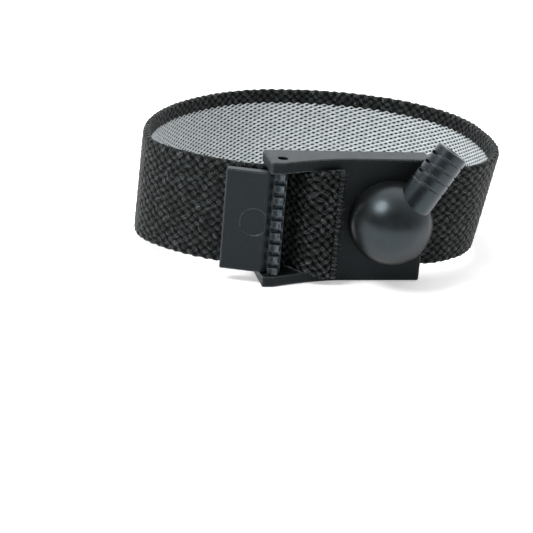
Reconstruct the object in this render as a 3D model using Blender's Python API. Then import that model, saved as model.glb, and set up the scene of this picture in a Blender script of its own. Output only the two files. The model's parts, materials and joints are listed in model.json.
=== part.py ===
"""Antistatic wrist strap: cam-lock buckle, elastic band and swivelling snap connector.

All driving dimensions are in millimetres; `MM` turns them into metres.
u runs along the buckle from its ear end, v runs out of the buckle's back plane
towards the dome, and z runs up across the band.  In the world X = u, Y = -v.
"""
import math

import bmesh
import bpy
import numpy as np
from mathutils import Vector

MM = 0.001

# Buckle frame
FRAME_LENGTH = 31.8
FRAME_HEIGHT = 24.5
RAIL_THICKNESS = 2.1
EAR_DEPTH = 8.5
EAR_FLAT = 2.2
PLATE_DEPTH = 5.3
PLATE_UNDERSIDE = 3.0
SLOPE_END = 16.0
SLOPE_POWER = 1.6
SLOPE_STEPS = 12
WINDOW_END = 14.75
WINDOW_WALL = 1.25
BAR_START = 1.2
BAR_END = 6.4
BAR_THICKNESS = 0.85
FRAME_EDGE_RADIUS = 0.4
FRAME_EDGE_STEPS = 2

# Hinge pin and clamp lever
PIN_U = 2.7
PIN_V = 5.4
PIN_RADIUS = 0.8
PIN_RECESS = 0.7
PIN_CHAMFER = 0.15
EAR_BORE_RADIUS = 1.05
LEVER_BORE_RADIUS = 0.88
LEVER_HEIGHT = 19.7
LEVER_TILT = 18.7
PAD_REACH = 10.04
PAD_FRONT = 2.44
PAD_BACK = 0.54
PAD_SHOULDER = 2.3
PAD_EDGE_RADIUS = 0.22
HUB_RADIUS = 1.8
HUB_NECK_S = 1.25
HUB_NECK_T = 1.75
HUB_STEPS = 18
HUB_FLAT = 1.25
MOULD_MARK_S = 4.2
MOULD_MARK_RADIUS = 2.65
MOULD_MARK_DEPTH = 0.2
TOOTH_COUNT = 9
TOOTH_PITCH = 2.33
TOOTH_THICKNESS = 1.25
TOOTH_INNER = 0.95
TOOTH_OUTER = 1.15
TOOTH_TIP_INNER = 0.8
TOOTH_TIP_OUTER = 0.95
TOOTH_TIP = 2.55
TOOTH_SHOULDER = 2.25
TOOTH_ROOT = 1.0
TOOTH_GAP_FLOOR = 1.35

# Elastic band
BAND_WIDTH = 19.7
BAND_THICKNESS = 1.5
BAND_CORNER = 0.3
BAND_V = 1.85
BAND_STEP = 1.7
BAND_SPLIT = 4.35
BAND_CUT = 0.15
BAND_FIXED_END = 16.35
LOOP_LEFT = 35.5
LOOP_RIGHT = 34.7
LOOP_WIDEST_LEFT = 14.5
LOOP_WIDEST_RIGHT = 28.6
LOOP_FAR = 58.35
LOOP_POWER_LEFT = 1.6
LOOP_POWER_RIGHT = 2.6
LOOP_POWER_FAR_LEFT = 1.86
LOOP_POWER_FAR_RIGHT = 2.27
LOOP_SAMPLES = 720
FAR_EDGE_DROP = 2.4
LEAN_START = 16.6
LEAN_LENGTH = 8.0
LEAN_REACH = 35.0
LEAN_RIGHT = -3.2
LEAN_LEFT = 1.1
LEAN_FAR = -1.5
TAIL_END = 14.4
TAIL_RISE = 5.35
TAIL_RISE_END = 9.7
TAIL_DROP = 0.175
TAIL_SPREAD = 0.0736
TAIL_SPREAD_START = 9.2
TAIL_SPREAD_END = 11.5
TAIL_STATIONS = 20

# Contact plate, rivet and snap stud
CONTACT_START = 16.5
CONTACT_END = 31.2
CONTACT_HEIGHT = 19.5
CONTACT_BACK = -0.1
CONTACT_FRONT = 0.8
CONTACT_RECESS = 0.4
CONTACT_RECESS_RADIUS = 4.4
CONTACT_CORNER = 1.6
CONTACT_CORNER_STEPS = 5
SNAP_U = 24.3
SNAP_Z = 12.55
POST_FLANGE_RADIUS = 4.2
POST_FLANGE_BACK = 0.0
POST_FLANGE_FRONT = 0.3
POST_RADIUS = 1.35
POST_END = 8.3
POST_CHAMFER = 0.25
PLATE_HOLE_RADIUS = 1.8
CONTACT_HOLE_RADIUS = 1.6
STUD_FLANGE_RADIUS = 4.0
STUD_BACK = 5.4
STUD_FLANGE_FRONT = 5.7
STUD_NECK_RADIUS = 1.75
STUD_NECK_TOP = 7.4
STUD_BULB_RADIUS = 2.15
STUD_BULB_V = 8.25
STUD_TOP = 9.05
STUD_CROWN_RADIUS = 1.2
STUD_BORE_RADIUS = 1.47
STUD_BORE_TOP = 8.5

# Snap connector: spring ring, socket, domed cap and base
RING_RADIUS = 2.8
RING_WIRE = 0.33
RING_V = 7.95
RING_SIDES = 12
CAP_RADIUS = 7.95
CAP_CENTRE_V = 7.1
CAP_RIM_V = 5.5
CAP_INNER_RADIUS = 6.3
CAP_RIM_ROUND = 0.18
CAP_STEPS = 20
BASE_RADIUS = 5.95
BASE_BACK = 6.2
BASE_FRONT = 7.2
BASE_COLLAR_RADIUS = 5.0
BASE_COLLAR_BACK = 5.9
BASE_HOLE_RADIUS = 2.55
CUP_FLANGE_RADIUS = 5.2
CUP_FLANGE_BACK = 7.5
CUP_FLANGE_FRONT = 7.85
CUP_RADIUS = 4.0
CUP_INNER_RADIUS = 3.6
CUP_ROOF_BACK = 10.0
CUP_ROOF_FRONT = 10.4
CONNECTOR_ANGLE = 57.5
TURN_SEGMENTS = 48
SMALL_SEGMENTS = 28

# Strain-relief barrel and what it holds
BARREL_V = 9.7
BARREL_ROOT = 3.8
BARREL_TIP = 17.8
BARREL_ROOT_RADIUS = 3.5
BARREL_TIP_RADIUS = 3.15
BARREL_BORE_RADIUS = 1.65
BARREL_EDGE = 0.2
ROOT_CLEAR_RADIUS = 6.1
ROOT_CLEAR_FRONT = 11.1
GROOVE_COUNT = 4
GROOVE_FIRST = 9.9
GROOVE_PITCH = 2.0
GROOVE_WIDTH = 0.4
GROOVE_DEPTH = 0.2
SLOT_FIRST = 11.4
SLOT_PITCH = 2.05
SLOT_COUNT = 3
SLOT_WIDTH = 0.55
SLOT_LENGTH = 2.4
SLOT_DEPTH = 0.9
PORT_GAP = 0.12
PORT_RELIEF_HALF_WIDTH = 1.6
PORT_DEPTH = 3.65
TAB_THICKNESS = 0.3
TAB_WIDTH = 2.6
TAB_FOOT_START = -1.6
TAB_ARM = 4.25
TAB_LOW = 9.2
TAB_GAP = 0.15
LEAD_RADIUS = 0.3
LEAD_IN_START = 4.7
RESISTOR_START = 6.4
RESISTOR_END = 12.4
RESISTOR_RADIUS = 1.2
RESISTOR_WAIST_RADIUS = 1.05
RESISTOR_CAP_LENGTH = 1.2
RESISTOR_GAP = 0.12
LEAD_OUT_END = 14.4
FERRULE_START = 13.2
FERRULE_END = 16.0
FERRULE_RADIUS = 1.1
FERRULE_BORE = 0.5

SMOOTH_ANGLE = 32.0
HALF = 0.5
FULL_TURN = 2.0 * math.pi
MID_Z = FRAME_HEIGHT * HALF


def smoothstep(value):
    """Ease a 0..1 value with flat ends."""
    clamped = min(1.0, max(0.0, value))
    return clamped * clamped * (3.0 - 2.0 * clamped)


def loop_point(angle):
    """Centre line of the free loop: x across, y away from the buckle."""
    cosine = math.cos(angle)
    sine = math.sin(angle)
    right = cosine > 0.0
    widest = LOOP_RIGHT if right else LOOP_LEFT
    widest_y = LOOP_WIDEST_RIGHT if right else LOOP_WIDEST_LEFT
    if sine > 0.0:
        power = LOOP_POWER_FAR_RIGHT if right else LOOP_POWER_FAR_LEFT
        depth = LOOP_FAR - widest_y
        straight = 0.0
    else:
        power = LOOP_POWER_RIGHT if right else LOOP_POWER_LEFT
        depth = widest_y + BAND_V
        straight = FRAME_LENGTH * HALF
    reach = straight + (widest - straight) * abs(cosine) ** (2.0 / power)
    x = math.copysign(reach, cosine)
    y = widest_y + math.copysign(depth * abs(sine) ** (2.0 / power), sine)
    return x, y


def band_centre_line():
    """Evenly spaced points from the clamp, round the wrist, to the riveted end."""
    half_length = FRAME_LENGTH * HALF
    points = [(BAND_SPLIT - half_length, -BAND_V)]
    for index in range(LOOP_SAMPLES):
        angle = -math.pi * HALF - FULL_TURN * (index + HALF) / LOOP_SAMPLES
        points.append(loop_point(angle))
    points.append((BAND_FIXED_END - half_length, -BAND_V))
    line = np.array(points)
    lengths = np.concatenate([[0.0], np.cumsum(np.linalg.norm(np.diff(line, axis=0), axis=1))])
    count = int(round(lengths[-1] / BAND_STEP))
    stations = np.linspace(0.0, lengths[-1], count + 1)
    return np.stack([np.interp(stations, lengths, line[:, axis]) for axis in (0, 1)], axis=1)


def section_corners(width, thickness, corner):
    """Rounded-off rectangle: (across thickness, along width) pairs, anticlockwise."""
    half_t = thickness * HALF
    half_w = width * HALF
    return [
        (half_t - corner, -half_w),
        (half_t, -half_w + corner),
        (half_t, half_w - corner),
        (half_t - corner, half_w),
        (-half_t + corner, half_w),
        (-half_t, half_w - corner),
        (-half_t, -half_w + corner),
        (-half_t + corner, -half_w),
    ]


def loft(sections):
    """Vertices and faces of a closed body through equal-sized rings."""
    size = len(sections[0])
    vertices = [point for ring in sections for point in ring]
    faces = [tuple(range(size))]
    for step in range(len(sections) - 1):
        low = step * size
        high = low + size
        for index in range(size):
            following = (index + 1) % size
            faces.append((low + index, high + index, high + following, low + following))
    last = (len(sections) - 1) * size
    faces.append(tuple(last + index for index in reversed(range(size))))
    return vertices, faces


def band_body():
    """The band outside the clamp as a lofted strip in buckle-centred coordinates."""
    line = band_centre_line()
    tangents = np.gradient(line, axis=0)
    tangents /= np.linalg.norm(tangents, axis=1)[:, None]
    corners = section_corners(BAND_WIDTH, BAND_THICKNESS, BAND_CORNER)
    sections = []
    for (x, y), (tangent_x, tangent_y) in zip(line, tangents):
        outward = (-tangent_y, tangent_x)
        free = smoothstep((abs(x) - LEAN_START) / LEAN_LENGTH) if y < LOOP_WIDEST_LEFT else 1.0
        distance = smoothstep(y / LOOP_FAR)
        lean = (LEAN_RIGHT if x > 0.0 else -LEAN_LEFT) * x / LEAN_REACH * free + LEAN_FAR * distance
        centre_z = MID_Z - FAR_EDGE_DROP * distance
        ring = []
        for across, along in corners:
            shift = across - lean * along / BAND_WIDTH
            ring.append((x + outward[0] * shift, y + outward[1] * shift, centre_z + along))
        sections.append(ring)
    return loft(sections)


def tail_body():
    """The free end of the band past the clamp, spreading as it lifts out through the window."""
    corners = section_corners(BAND_WIDTH, BAND_THICKNESS, BAND_CORNER)
    start = BAND_SPLIT + BAND_CUT
    sections = []
    for index in range(TAIL_STATIONS + 1):
        share = index / TAIL_STATIONS
        u = start + (TAIL_END - start) * share
        risen = min(1.0, (u - start) / (TAIL_RISE_END - start))
        v = BAND_V + TAIL_RISE * smoothstep(risen)
        slope = TAIL_RISE * 6.0 * risen * (1.0 - risen) / (TAIL_RISE_END - start)
        length = math.hypot(1.0, slope)
        spread = smoothstep((u - TAIL_SPREAD_START) / (TAIL_SPREAD_END - TAIL_SPREAD_START))
        centre_z = MID_Z - TAIL_DROP * spread
        ring = []
        for across, along in corners:
            point_u = u - across * slope / length
            point_v = v + across / length
            point_z = centre_z + along * (1.0 + TAIL_SPREAD * spread)
            ring.append((point_u - FRAME_LENGTH * HALF, -point_v, point_z))
        sections.append(ring)
    return loft(sections)


def clear_scene():
    """Remove whatever the file starts with."""
    for leftover in list(bpy.data.objects):
        bpy.data.objects.remove(leftover, do_unlink=True)


def material(name, colour, metallic, roughness):
    """A plain Principled material."""
    made = bpy.data.materials.new(name)
    made.use_nodes = True
    shader = made.node_tree.nodes["Principled BSDF"]
    shader.inputs["Base Color"].default_value = (*colour, 1.0)
    shader.inputs["Metallic"].default_value = metallic
    shader.inputs["Roughness"].default_value = roughness
    made.diffuse_color = (*colour, 1.0)
    return made


def make_object(name, vertices, faces, surface=None):
    """Object from millimetre coordinates, with outward normals and sharp-edge shading."""
    mesh = bpy.data.meshes.new(name)
    mesh.from_pydata([Vector(point) * MM for point in vertices], [], faces)
    working = bmesh.new()
    working.from_mesh(mesh)
    bmesh.ops.recalc_face_normals(working, faces=working.faces)
    working.to_mesh(mesh)
    working.free()
    if surface is not None:
        mesh.materials.append(surface)
    made = bpy.data.objects.new(name, mesh)
    bpy.context.scene.collection.objects.link(made)
    mesh.shade_smooth()
    mesh.set_sharp_from_angle(angle=math.radians(SMOOTH_ANGLE))
    return made


def add_bevel(target, width, segments):
    """Round the sharp edges of a plain prism."""
    modifier = target.modifiers.new("edge_round", "BEVEL")
    modifier.width = width * MM
    modifier.segments = segments
    modifier.limit_method = "ANGLE"
    modifier.angle_limit = math.radians(SMOOTH_ANGLE)


def combine(target, tool, operation):
    """Boolean a hidden tool into a target."""
    modifier = target.modifiers.new(tool.name, "BOOLEAN")
    modifier.operation = operation
    modifier.object = tool
    modifier.solver = "EXACT"
    tool.hide_render = True
    tool.display_type = "WIRE"


def prism(name, outline, low, high, surface=None):
    """Extrude an (x, y) outline from z = low to z = high."""
    sections = [[(x, y, level) for x, y in outline] for level in (low, high)]
    vertices, faces = loft(sections)
    return make_object(name, vertices, faces, surface)


def block(name, low, high, surface=None):
    """Axis-aligned box between two (x, y, z) corners."""
    outline = [(low[0], low[1]), (high[0], low[1]), (high[0], high[1]), (low[0], high[1])]
    return prism(name, outline, low[2], high[2], surface)


def turned(name, profile, segments, axis, surface=None):
    """Revolve a closed (radius, distance) profile about 'X', 'Y' or 'Z'.

    Distance runs along +X, -Y or +Z.  Points at zero radius become single poles.
    """
    frames = {
        "X": lambda r, d, c, s: (d, r * c, r * s),
        "Y": lambda r, d, c, s: (r * c, -d, r * s),
        "Z": lambda r, d, c, s: (r * c, r * s, d),
    }
    place = frames[axis]
    vertices = []
    starts = []
    for radius, distance in profile:
        starts.append(len(vertices))
        if radius == 0.0:
            vertices.append(place(0.0, distance, 1.0, 0.0))
            continue
        for step in range(segments):
            angle = FULL_TURN * step / segments
            vertices.append(place(radius, distance, math.cos(angle), math.sin(angle)))
    faces = []
    for index, (radius, _) in enumerate(profile):
        following = (index + 1) % len(profile)
        next_radius = profile[following][0]
        if radius == 0.0 and next_radius == 0.0:
            continue
        for step in range(segments):
            turn = (step + 1) % segments
            here = starts[index] + (0 if radius == 0.0 else step)
            here_turn = starts[index] + (0 if radius == 0.0 else turn)
            there = starts[following] + (0 if next_radius == 0.0 else step)
            there_turn = starts[following] + (0 if next_radius == 0.0 else turn)
            if radius == 0.0:
                faces.append((here, there, there_turn))
            elif next_radius == 0.0:
                faces.append((here, there, here_turn))
            else:
                faces.append((here, there, there_turn, here_turn))
    return make_object(name, vertices, faces, surface)


def rod(name, radius, start, end, axis, segments=SMALL_SEGMENTS, surface=None):
    """Plain round bar along one axis."""
    profile = [(0.0, start), (radius, start), (radius, end), (0.0, end)]
    return turned(name, profile, segments, axis, surface)


def arc(centre, radius, start, end, steps):
    """(radius, distance) points on a circular arc; angles in degrees from the radial way."""
    points = []
    for step in range(steps + 1):
        angle = math.radians(start + (end - start) * step / steps)
        points.append((centre[0] + radius * math.cos(angle), centre[1] + radius * math.sin(angle)))
    return points


def frame_side_outline():
    """Side view of the buckle frame: deep ears that ease down to the thin plate."""
    points = [(0.0, 0.0), (FRAME_LENGTH, 0.0), (FRAME_LENGTH, -PLATE_DEPTH)]
    for step in range(SLOPE_STEPS + 1):
        share = step / SLOPE_STEPS
        u = SLOPE_END + (EAR_FLAT - SLOPE_END) * share
        depth = PLATE_DEPTH + (EAR_DEPTH - PLATE_DEPTH) * share ** SLOPE_POWER
        points.append((u, -depth))
    points.append((0.0, -EAR_DEPTH))
    half_length = FRAME_LENGTH * HALF
    return [(u - half_length, v) for u, v in points]


def build_frame(plastic):
    """Moulded frame: two rails with ears, window, cross bar and the connector plate."""
    half_length = FRAME_LENGTH * HALF
    frame = prism("buckle_frame", frame_side_outline(), 0.0, FRAME_HEIGHT, plastic)
    add_bevel(frame, FRAME_EDGE_RADIUS, FRAME_EDGE_STEPS)
    low_z = RAIL_THICKNESS
    high_z = FRAME_HEIGHT - RAIL_THICKNESS
    beyond = 2.0
    cuts = {
        "cut_window_front": (-beyond, WINDOW_END, BAR_THICKNESS, EAR_DEPTH + beyond),
        "cut_window_back": (BAR_END, WINDOW_END, -beyond, BAR_THICKNESS + beyond),
        "cut_band_entry": (-beyond, BAR_START, -beyond, BAR_THICKNESS + beyond),
        "cut_band_channel": (WINDOW_END + WINDOW_WALL, FRAME_LENGTH + beyond, -beyond, PLATE_UNDERSIDE),
    }
    for name, (start, end, back, front) in cuts.items():
        low = (start - half_length, -front, low_z)
        high = (end - half_length, -back, high_z)
        combine(frame, block(name, low, high), "DIFFERENCE")
    bore = rod("cut_pin_bore", EAR_BORE_RADIUS, -beyond, FRAME_HEIGHT + beyond, "Z")
    bore.location = ((PIN_U - half_length) * MM, -PIN_V * MM, 0.0)
    combine(frame, bore, "DIFFERENCE")
    hole = rod("cut_rivet_hole", PLATE_HOLE_RADIUS, 0.0, EAR_DEPTH, "Y")
    hole.location = ((SNAP_U - half_length) * MM, 0.0, SNAP_Z * MM)
    combine(frame, hole, "DIFFERENCE")
    return [frame, bore, hole] + [bpy.data.objects[name] for name in cuts]


def build_pin(steel):
    """Steel hinge pin, set a little below both ear faces."""
    low = PIN_RECESS
    high = FRAME_HEIGHT - PIN_RECESS
    profile = [
        (0.0, low),
        (PIN_RADIUS - PIN_CHAMFER, low),
        (PIN_RADIUS, low + PIN_CHAMFER),
        (PIN_RADIUS, high - PIN_CHAMFER),
        (PIN_RADIUS - PIN_CHAMFER, high),
        (0.0, high),
    ]
    pin = turned("hinge_pin", profile, SMALL_SEGMENTS, "Z", steel)
    pin.location = ((PIN_U - FRAME_LENGTH * HALF) * MM, -PIN_V * MM, 0.0)
    return [pin]


def lever_outline():
    """Lever in its own plane: x towards the pad's tip, y out of its gripping face."""
    meet = math.degrees(math.asin(PAD_BACK / HUB_RADIUS))
    neck = math.degrees(math.atan2(HUB_NECK_T, HUB_NECK_S))
    hub = arc((0.0, 0.0), HUB_RADIUS, neck, 360.0 + meet, HUB_STEPS)
    return hub + [(PAD_REACH, PAD_BACK), (PAD_REACH, PAD_FRONT), (PAD_SHOULDER, PAD_FRONT)]


def build_lever(plastic):
    """Cam lever: flat pad, bored hub and a row of teeth, turned to its open position."""
    half_height = LEVER_HEIGHT * HALF
    lever = prism("clamp_lever", lever_outline(), -half_height, half_height, plastic)
    add_bevel(lever, PAD_EDGE_RADIUS, 1)
    tooth_outline = [
        (-TOOTH_OUTER, TOOTH_ROOT),
        (TOOTH_INNER, TOOTH_ROOT),
        (TOOTH_INNER, TOOTH_SHOULDER),
        (TOOTH_TIP_INNER, TOOTH_TIP),
        (-TOOTH_TIP_OUTER, TOOTH_TIP),
        (-TOOTH_OUTER, TOOTH_SHOULDER),
    ]
    vertices = []
    faces = []
    for index in range(TOOTH_COUNT):
        centre = (index - (TOOTH_COUNT - 1) * HALF) * TOOTH_PITCH
        levels = (centre - TOOTH_THICKNESS * HALF, centre + TOOTH_THICKNESS * HALF)
        made, sides = loft([[(x, y, level) for x, y in tooth_outline] for level in levels])
        faces += [tuple(corner + len(vertices) for corner in side) for side in sides]
        vertices += made
    beyond = HUB_RADIUS + HALF
    low = (-beyond, -beyond, -LEVER_HEIGHT)
    flat = block("cut_hub_flat", low, (-HUB_FLAT, beyond, LEVER_HEIGHT))
    low = (-beyond, TOOTH_GAP_FLOOR, -LEVER_HEIGHT)
    trough = block("cut_tooth_trough", low, (TOOTH_INNER, beyond, LEVER_HEIGHT))
    combine(lever, flat, "DIFFERENCE")
    combine(lever, trough, "DIFFERENCE")
    teeth = make_object("add_teeth", vertices, faces)
    combine(lever, teeth, "UNION")
    bore = rod("cut_lever_bore", LEVER_BORE_RADIUS, -LEVER_HEIGHT, LEVER_HEIGHT, "Z")
    combine(lever, bore, "DIFFERENCE")
    mark = rod("cut_mould_mark", MOULD_MARK_RADIUS, -EAR_DEPTH, MOULD_MARK_DEPTH - PAD_FRONT, "Y")
    mark.location = (MOULD_MARK_S * MM, 0.0, 0.0)
    combine(lever, mark, "DIFFERENCE")
    for tool in (flat, trough, teeth, bore, mark):
        tool.parent = lever
    lever.location = ((PIN_U - FRAME_LENGTH * HALF) * MM, -PIN_V * MM, MID_Z * MM)
    lever.rotation_euler = (0.0, 0.0, math.radians(180.0 - LEVER_TILT))
    return [lever]


def build_band(fabric):
    """Elastic band in two pieces: the loop, and the free end that the lever presses down."""
    loop = make_object("band_loop", *band_body(), fabric)
    hole = rod("cut_band_hole", PLATE_HOLE_RADIUS, 0.0, PLATE_UNDERSIDE, "Y")
    hole.location = ((SNAP_U - FRAME_LENGTH * HALF) * MM, 0.0, SNAP_Z * MM)
    combine(loop, hole, "DIFFERENCE")
    tail = make_object("band_tail", *tail_body(), fabric)
    return [loop, hole, tail]


def build_contact(steel):
    """Stainless contact plate behind the riveted end of the band."""
    half_length = FRAME_LENGTH * HALF
    half_height = CONTACT_HEIGHT * HALF
    corners = [
        (CONTACT_END - CONTACT_CORNER, half_height - CONTACT_CORNER, 0.0),
        (CONTACT_START + CONTACT_CORNER, half_height - CONTACT_CORNER, 90.0),
        (CONTACT_START + CONTACT_CORNER, -half_height + CONTACT_CORNER, 180.0),
        (CONTACT_END - CONTACT_CORNER, -half_height + CONTACT_CORNER, 270.0),
    ]
    outline = []
    for centre_u, centre_z, start in corners:
        outline += arc((centre_u, centre_z), CONTACT_CORNER, start, start + 90.0, CONTACT_CORNER_STEPS)
    levels = (-CONTACT_BACK, -CONTACT_FRONT)
    sections = [[(u - half_length, level, MID_Z + z) for u, z in outline] for level in levels]
    plate = make_object("contact_plate", *loft(sections), steel)
    hole = rod("cut_contact_hole", CONTACT_HOLE_RADIUS, -PLATE_UNDERSIDE, PLATE_UNDERSIDE, "Y")
    hole.location = ((SNAP_U - half_length) * MM, 0.0, SNAP_Z * MM)
    combine(plate, hole, "DIFFERENCE")
    recess = rod("cut_contact_recess", CONTACT_RECESS_RADIUS, -PLATE_UNDERSIDE, CONTACT_RECESS, "Y")
    recess.location = hole.location
    combine(plate, recess, "DIFFERENCE")
    return [plate, hole, recess]


def build_rivet(steel):
    """Rivet post from behind and the snap stud that it holds in front."""
    post_profile = [
        (0.0, POST_FLANGE_BACK),
        (POST_FLANGE_RADIUS - POST_CHAMFER, POST_FLANGE_BACK),
        (POST_FLANGE_RADIUS, POST_FLANGE_FRONT),
        (POST_RADIUS, POST_FLANGE_FRONT),
        (POST_RADIUS, POST_END - POST_CHAMFER),
        (POST_RADIUS - POST_CHAMFER, POST_END),
        (0.0, POST_END),
    ]
    post = turned("rivet_post", post_profile, SMALL_SEGMENTS, "Y", steel)
    bulge = STUD_BULB_RADIUS - STUD_NECK_RADIUS
    stud_profile = [
        (STUD_BORE_RADIUS, STUD_BACK),
        (STUD_FLANGE_RADIUS, STUD_BACK),
        (STUD_FLANGE_RADIUS, STUD_FLANGE_FRONT),
        (STUD_NECK_RADIUS, STUD_FLANGE_FRONT),
        (STUD_NECK_RADIUS, STUD_NECK_TOP),
        (STUD_NECK_RADIUS + bulge * HALF, STUD_NECK_TOP + bulge * HALF),
        (STUD_BULB_RADIUS, STUD_BULB_V - bulge * HALF),
        (STUD_BULB_RADIUS, STUD_BULB_V),
        (STUD_BULB_RADIUS - bulge * HALF, STUD_TOP - bulge),
        (STUD_CROWN_RADIUS, STUD_TOP),
        (0.0, STUD_TOP),
        (0.0, STUD_BORE_TOP),
        (STUD_BORE_RADIUS, STUD_BORE_TOP),
    ]
    stud = turned("snap_stud", stud_profile, SMALL_SEGMENTS, "Y", steel)
    for piece in (post, stud):
        piece.location = ((SNAP_U - FRAME_LENGTH * HALF) * MM, 0.0, SNAP_Z * MM)
    return [post, stud]


def barrel_profile():
    """Half section of the strain relief: tapered wall with ring grooves round a cord bore."""
    taper = (BARREL_TIP_RADIUS - BARREL_ROOT_RADIUS) / (BARREL_TIP - BARREL_ROOT)
    profile = [(BARREL_BORE_RADIUS, BARREL_ROOT), (BARREL_ROOT_RADIUS, BARREL_ROOT)]
    for index in range(GROOVE_COUNT):
        start = GROOVE_FIRST + index * GROOVE_PITCH
        end = start + GROOVE_WIDTH
        radius = BARREL_ROOT_RADIUS + taper * (start - BARREL_ROOT)
        step = GROOVE_WIDTH / 4.0
        profile += [
            (radius, start),
            (radius - GROOVE_DEPTH, start + step),
            (radius - GROOVE_DEPTH, end - step),
            (radius, end),
        ]
    profile += [
        (BARREL_TIP_RADIUS, BARREL_TIP - BARREL_EDGE),
        (BARREL_TIP_RADIUS - BARREL_EDGE, BARREL_TIP),
        (BARREL_BORE_RADIUS, BARREL_TIP),
    ]
    return profile


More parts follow.
